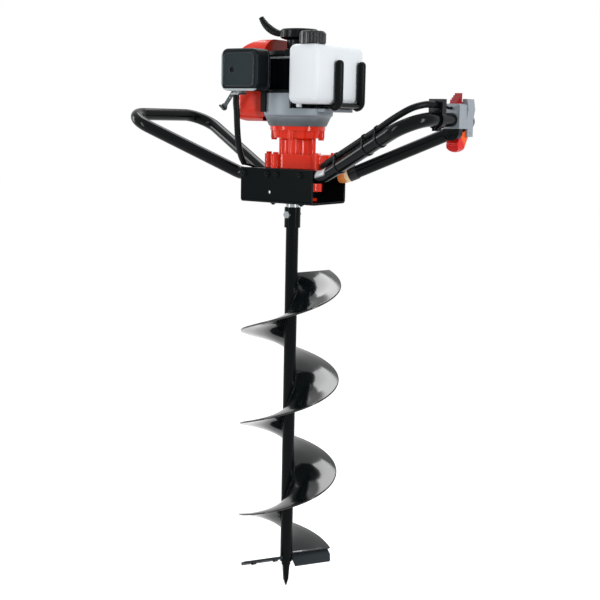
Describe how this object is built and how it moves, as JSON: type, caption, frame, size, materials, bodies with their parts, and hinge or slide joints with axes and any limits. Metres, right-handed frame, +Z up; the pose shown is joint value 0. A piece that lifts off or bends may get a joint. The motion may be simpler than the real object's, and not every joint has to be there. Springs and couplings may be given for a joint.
{
  "type": "earth auger",
  "caption": "Hand-held petrol post-hole digger: helical bit on a gear case and clutch under a small engine, carried by two bent-tube handle loops with a throttle control",
  "frame": {"origin": "tip of the pilot point, on the drilling axis", "axes": "+Z up along the drilling axis, +X towards the throttle handle, -Y towards the air filter"},
  "size_m": [0.7107, 0.2473, 1.156],
  "materials": {
    "black_paint": "gloss black enamel",
    "red_paint": "satin red paint on cast aluminium",
    "red_plastic": "moulded red plastic",
    "grey_cast": "bead-blasted casting",
    "steel": "ground steel",
    "zinc": "dull zinc plate",
    "dark_plastic": "fine moulded texture",
    "black_plastic": "fine moulded texture",
    "grey_plastic": "fine moulded texture",
    "white_plastic": "translucent white polyethylene",
    "rubber": "smooth rubber",
    "bronze": "sintered bronze",
    "orange_plastic": "moulded plastic",
    "foam": "open foam",
    "rope": "braided cord",
    "ceramic": "white insulator with a steel shell",
    "dark_steel": "heat-resistant coating"
  },
  "bodies": {
    "machine": {"frame_channel": "black_paint", "left_handle": "black_paint", "right_handle": "black_paint", "handle_bolts": "zinc", "handle_nuts": "zinc", "leg_bush": "orange_plastic", "gear_case": "red_paint", "clutch_housing": "red_paint", "case_bolts": "zinc", "foot_bolts": "zinc", "housing_bolts": "zinc", "output_bearings": "steel", "layshaft_bushes": "bronze", "drum_bearings": "steel", "fan_housing": "grey_cast", "crankcase": "grey_cast", "cylinder": "grey_cast", "cylinder_shroud": "red_plastic", "spark_plug": "ceramic", "plug_cap": "rubber", "muffler": "dark_steel", "insulator": "black_plastic", "carburettor": "grey_cast", "air_filter_base": "dark_plastic", "air_filter_foam": "foam", "air_filter_cover": "dark_plastic", "air_filter_knob": "black_plastic", "starter_cover": "black_plastic", "fuel_tank": "white_plastic", "tank_guard": "black_paint", "guard_sleeves": "rubber", "throttle_clamp": "black_plastic", "throttle_housing": "grey_plastic", "throttle_base": "black_plastic", "trigger_pin": "steel", "cable_bracket": "dark_plastic", "throttle_cable": "rubber", "cable_ties": "black_plastic"},
    "auger": {"output_shaft": "steel", "output_gear": "steel", "drive_pin": "zinc", "auger_socket": "black_paint", "auger_tube": "black_paint", "auger_flight": "black_paint", "cutting_blades": "black_paint", "blade_bolts": "zinc", "pilot_point": "black_paint"},
    "layshaft": {"layshaft": "steel", "layshaft_gear": "steel"},
    "drum": {"clutch_drum": "steel"},
    "crank": {"crankshaft": "steel", "flywheel_fan": "grey_cast", "clutch_shoes": "grey_cast"},
    "trigger": {"throttle_trigger": "red_plastic"},
    "switch": {"stop_switch": "red_plastic"},
    "choke": {"choke_lever": "zinc"},
    "cap": {"fuel_cap": "black_plastic"},
    "pull": {"starter_handle": "rubber", "starter_rope": "rope"}
  },
  "joints": [
    {"name": "auger_spin", "type": "hinge", "parent": "machine", "child": "auger", "pos_m": [0, 0, 0.8], "axis": [0, 0, 1], "continuous": true},
    {"name": "layshaft_spin", "type": "hinge", "parent": "machine", "child": "layshaft", "pos_m": [0.045, 0, 0.872], "axis": [0, 0, 1], "continuous": true},
    {"name": "drum_spin", "type": "hinge", "parent": "machine", "child": "drum", "pos_m": [0.00875, 0, 0.905], "axis": [0, 0, 1], "continuous": true},
    {"name": "crank_spin", "type": "hinge", "parent": "machine", "child": "crank", "pos_m": [0.00875, 0, 1], "axis": [0, 0, 1], "continuous": true},
    {"name": "throttle_trigger", "type": "hinge", "parent": "machine", "child": "trigger", "pos_m": [0.339, 0.053, 0.938], "axis": [-1, 0, 0], "range_deg": [0, 13], "stiffness_Nm_per_rad": 0.4},
    {"name": "stop_switch", "type": "slide", "parent": "machine", "child": "switch", "axis": [0, 1, 0], "range_m": [0, 0.006]},
    {"name": "choke_lever", "type": "hinge", "parent": "machine", "child": "choke", "pos_m": [-0.08327, -0.081, 1.0125], "axis": [0, 1, 0], "range_deg": [-40, 0]},
    {"name": "fuel_cap", "type": "hinge", "parent": "machine", "child": "cap", "pos_m": [0.07105, -0.0445, 1.1], "axis": [0, 0, 1], "range_deg": [0, 360]},
    {"name": "starter_pull", "type": "slide", "parent": "machine", "child": "pull", "axis": [-0.9945, 0, 0.1045], "range_m": [0, 0.6]}
  ],
  "couplings": [
    {"joint": "layshaft_spin", "follows": "auger_spin", "ratio": -5},
    {"joint": "drum_spin", "follows": "auger_spin", "ratio": 24}
  ]
}
